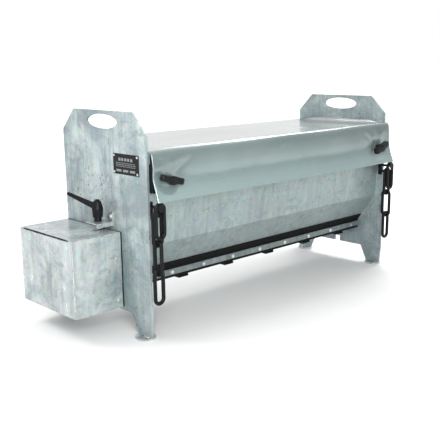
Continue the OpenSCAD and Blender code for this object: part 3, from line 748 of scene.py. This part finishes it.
def make_flap(material):
    """The hanging front: a rolled fold over the rim, pinched at both knobs, with a loose hem."""
    profile = flap_profile(FLAP_ROWS)
    verts = []
    for i in range(FLAP_COLUMNS):
        x = FLAP_HALF * (2 * i / (FLAP_COLUMNS - 1) - 1)
        for y, z in profile:
            down = smoothstep(LEVEL - 4, HEM_Z, z)
            past_seam = smoothstep(SEAM_Y, SEAM_Y - FOLD_DEPTH, y)
            near_fold = past_seam * (1 - smoothstep(LEVEL - 6, LEVEL - 60, z))
            top_seam = 1 - past_seam
            lift = ridge_lift(x) * near_fold + SEAM_SHARE * ridge_lift(x) * top_seam
            small = 0.5 * ripple(x, z * 0.4, size=13, seed=3.3) * near_fold * bell(x + 60, 90)
            y_here = y - flap_push(x, z, down) - small
            for knob in KNOB_X:
                reach = math.hypot(x - knob, z - KNOB_Z)
                hold = 1 - smoothstep(HELD_R, FREE_R, reach)
                if abs(z - KNOB_Z) < HELD_BAND:
                    y_here = y_here * (1 - hold) + HELD_Y * hold
            if abs(x) > FLAP_HALF - CORNER_WIDTH and HEM_Z + 15 < z < LEVEL - 12:
                y_here = min(y_here, HELD_Y - 0.2)
            verts.append(at(x, y_here, z + lift))
    holes = [at(knob, HELD_Y, KNOB_Z) for knob in KNOB_X]
    inside = [in_hole(point, holes) for point in verts]
    faces = [f for f in grid_faces(FLAP_COLUMNS, len(profile)) if not any(inside[v] for v in f)]
    kept = sorted({v for f in faces for v in f})
    place = {v: k for k, v in enumerate(kept)}
    faces = [tuple(place[v] for v in f) for f in faces]
    sheet = new_piece("tarp_front", [verts[v] for v in kept], faces, material)
    thicken(sheet)
    return sheet


def make_tarpaulin(material, top_material):
    top = make_top(top_material)
    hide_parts("tarp_top", "tarp_rear_strip")
    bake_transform(top)
    front = make_flap(material)
    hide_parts("tarp_flap")
    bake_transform(front)


# ---------- knobs, print and welds ----------

# Lengths in mm. The grip's four flats lie at KNOB_FACET of its radius.
# Its hub bulges, and hangs a little low.
CAD_KNOB_D = 17
KNOB_MID_Y = (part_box("knob_left")[0][1] + CAD_KNOB_D / 2 * MM) / MM - CENTRE_Y / MM
KNOB_BACK_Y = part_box("knob_left")[1][1] / MM - CENTRE_Y / MM
KNOB_HALF = 37.0
KNOB_R = 11.0
KNOB_FACET = 0.80
KNOB_RINGS = 36
KNOB_AROUND = 28
HUB_WIDTH = 10
HUB_DEEPER = 0.10
HUB_TALLER = 0.30
HUB_DROP = 2.0
KNOB_TILTS = (("left", 14.5, "turn_knob_left"), ("right", -21.5, "turn_knob_right"))
SHARP_ANGLE = math.radians(38)
BEAD_AROUND = 8


def lathe_rings(stations, around):
    """Points around the Y axis, one ring for each (distance along Y, radius)."""
    verts = []
    for along, radius in stations:
        for k in range(around):
            angle = 2 * math.pi * k / around
            verts.append((radius * math.sin(angle), along, radius * math.cos(angle)))
    return verts


def tube_faces(rings, around, start=0):
    """Faces round a stack of rings, closed at both ends."""
    faces = []
    for i in range(rings - 1):
        for k in range(around):
            a = start + i * around + k
            b = start + i * around + (k + 1) % around
            faces.append((a, b, b + around, a + around))
    faces.append(tuple(start + k for k in reversed(range(around))))
    faces.append(tuple(start + (rings - 1) * around + k for k in range(around)))
    return faces


def make_knob(side, x, tilt, body, material):
    """A moulded T grip: a rounded bar, a bulging hub and a stepped collar behind it."""
    turn = math.radians(tilt)
    verts = []
    for i in range(KNOB_RINGS + 1):
        u = math.cos(math.pi * i / KNOB_RINGS)
        along = KNOB_HALF * u
        hub = bell(along, HUB_WIDTH)
        radius = max(KNOB_R * (1 - abs(u) ** 9) ** 0.5, 0.4)
        for k in range(KNOB_AROUND):
            angle = 2 * math.pi * k / KNOB_AROUND
            square = KNOB_FACET / max(abs(math.sin(angle)), abs(math.cos(angle)), KNOB_FACET)
            deep = radius * square * (1 + HUB_DEEPER * hub) * math.sin(angle)
            high = radius * square * (1 + HUB_TALLER * hub) * math.cos(angle) - HUB_DROP * hub
            px = along * math.cos(turn) + high * math.sin(turn)
            pz = -along * math.sin(turn) + high * math.cos(turn)
            verts.append(at(x + px, KNOB_MID_Y + deep, KNOB_Z + pz))
    faces = tube_faces(KNOB_RINGS + 1, KNOB_AROUND)
    steps = ((0, 9.2), (0.7, 10.0), (4.6, 10.0), (6.4, 9.0), (9.0, 8.3), (12, 8.3))
    stations = [(KNOB_BACK_Y - forward, radius) for forward, radius in steps]
    collar = lathe_rings(stations, KNOB_AROUND)
    faces += [tuple(len(verts) + v for v in f) for f in tube_faces(len(stations), KNOB_AROUND)]
    verts += [at(x + cx, cy, KNOB_Z + cz) for cx, cy, cz in collar]
    piece = new_piece("grip_" + side, verts, faces, material)
    tidy_normals(piece)
    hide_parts("knob_" + side)
    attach(piece, body)


def tidy_normals(piece):
    work = bmesh.new()
    work.from_mesh(piece.data)
    bmesh.ops.recalc_face_normals(work, faces=work.faces)
    work.to_mesh(piece.data)
    work.free()
    piece.data.set_sharp_from_angle(angle=SHARP_ANGLE)


def add_box(verts, faces, low, high):
    base = len(verts)
    for i in range(8):
        corner = [high[k] if i >> k & 1 else low[k] for k in range(3)]
        verts.append(tuple(corner))
    sides = ((0, 2, 3, 1), (4, 5, 7, 6), (0, 1, 5, 4), (2, 6, 7, 3), (0, 4, 6, 2), (1, 3, 7, 5))
    faces.extend(tuple(base + v for v in side) for side in sides)


def make_print(material):
    """Plain bars and boxes where the rating plate carries its lines of print."""
    low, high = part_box("rating_plate")
    stands_out = 0.00030
    clear = 0.00002
    face_x = low[0]
    across = high[1] - low[1]
    tall = high[2] - low[2]
    verts, faces = [], []

    def bar(y0, y1, z0, z1):
        """One raised bar; its sides are given as shares of the plate, from the left and from the bottom."""
        near = (face_x - stands_out, high[1] - y1 * across, low[2] + z0 * tall)
        far = (face_x - clear, high[1] - y0 * across, low[2] + z1 * tall)
        add_box(verts, faces, near, far)

    title_words = 5
    for k in range(title_words):
        left = 0.22 + k * 0.115
        bar(left, left + 0.085 - 0.012 * (k % 2), 0.66, 0.80)
    text_rows = 3
    line_end = 0.88
    for row in range(text_rows):
        z = 0.54 - row * 0.085
        cursor = 0.12
        k = 0
        while cursor < 0.84:
            span = 0.035 + 0.055 * abs(math.sin(3.1 * k + 1.7 * row))
            bar(cursor, min(cursor + span, line_end), z, z + 0.035)
            cursor += span + 0.022
            k += 1
    boxes = 3
    for k in range(boxes):
        left = 0.12 + 0.27 * k
        bar(left, left + 0.20, 0.13, 0.24)
    piece = new_piece("rating_print", verts, faces, material, smooth=False)
    tidy_normals(piece)
    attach(piece, "hopper")


def weld_bead(name, runs, radius, pitch, material):
    """A laid bead with overlapping ripples along each straight run of points."""
    verts, faces = [], []
    for start, end in runs:
        start, end = Vector(start), Vector(end)
        run = end - start
        along = run.normalized()
        side = along.orthogonal().normalized()
        other = along.cross(side)
        count = max(6, int(run.length / (pitch * 0.25)))
        base = len(verts)
        for i in range(count + 1):
            t = i / count
            phase = t * run.length / pitch
            uneven = 0.22 * noise.noise(Vector((phase, radius, t)))
            swell = 0.72 + 0.28 * abs(math.sin(math.pi * phase)) + uneven
            taper = min(1.0, 0.15 + 12 * min(t, 1 - t))
            size = radius * swell * taper
            for k in range(BEAD_AROUND):
                angle = 2 * math.pi * k / BEAD_AROUND
                sideways = side * math.cos(angle) * size
                outward = other * math.sin(angle) * size
                verts.append(start + run * t + sideways + outward)
        faces += tube_faces(count + 1, BEAD_AROUND, base)
    piece = new_piece(name, verts, faces, material)
    tidy_normals(piece)
    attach(piece, "hopper")


def make_welds(materials):
    """Beads along the drive cover's edges, and beside each foot on both faces of both plates."""
    low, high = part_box("motor_cover")
    inset = 0.0006
    x, y0, y1 = low[0] + inset, low[1] + inset, high[1] - inset
    z0, z1 = low[2] + inset, high[2] - inset
    gap = 0.012
    short_gap = 0.003
    dark = [((x, y0 + gap, z1), (x, y1 - gap, z1))]
    weld_bead("cover_seam_dark", dark, 0.0027, 0.013, materials["chain_black"])
    bright = [((x, y0, z0 + gap), (x, y0, z1 - short_gap)), ((x + gap, y0, z1), (high[0] - gap, y0, z1))]
    bright += [((x, y1, z0 + gap), (x, y1, z1 - gap)), ((x + gap, y1, z1), (high[0] - gap, y1, z1))]
    weld_bead("cover_seams", bright, 0.0013, 0.0045, materials["zinc"])
    feet = []
    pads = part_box("foot_pads")
    bead_z = pads[1][2] + 0.0004
    bead_from, bead_to = 0.011, 0.031
    for plate in (PLATE, RIGHT_PLATE):
        for y in (pads[0][1], pads[1][1]):
            inward = 1 if y == pads[0][1] else -1
            for face_x in (plate[0][0], plate[1][0]):
                start = (face_x, y + inward * bead_from, bead_z)
                feet.append((start, (face_x, y + inward * bead_to, bead_z)))
    weld_bead("foot_welds", feet, 0.0022, 0.006, materials["zinc"])


make_camera()
make_light()
make_floor()
bpy.context.scene.view_settings.view_transform = "Standard"
MATERIALS = make_materials()
dress_cad(MATERIALS)
make_tarpaulin(MATERIALS["tarpaulin"], MATERIALS["tarpaulin_top"])
for (side, tilt, body), knob_x in zip(KNOB_TILTS, KNOB_X):
    make_knob(side, knob_x, tilt, body, MATERIALS["black_plastic"])
make_print(MATERIALS["label_silver"])
make_welds(MATERIALS)
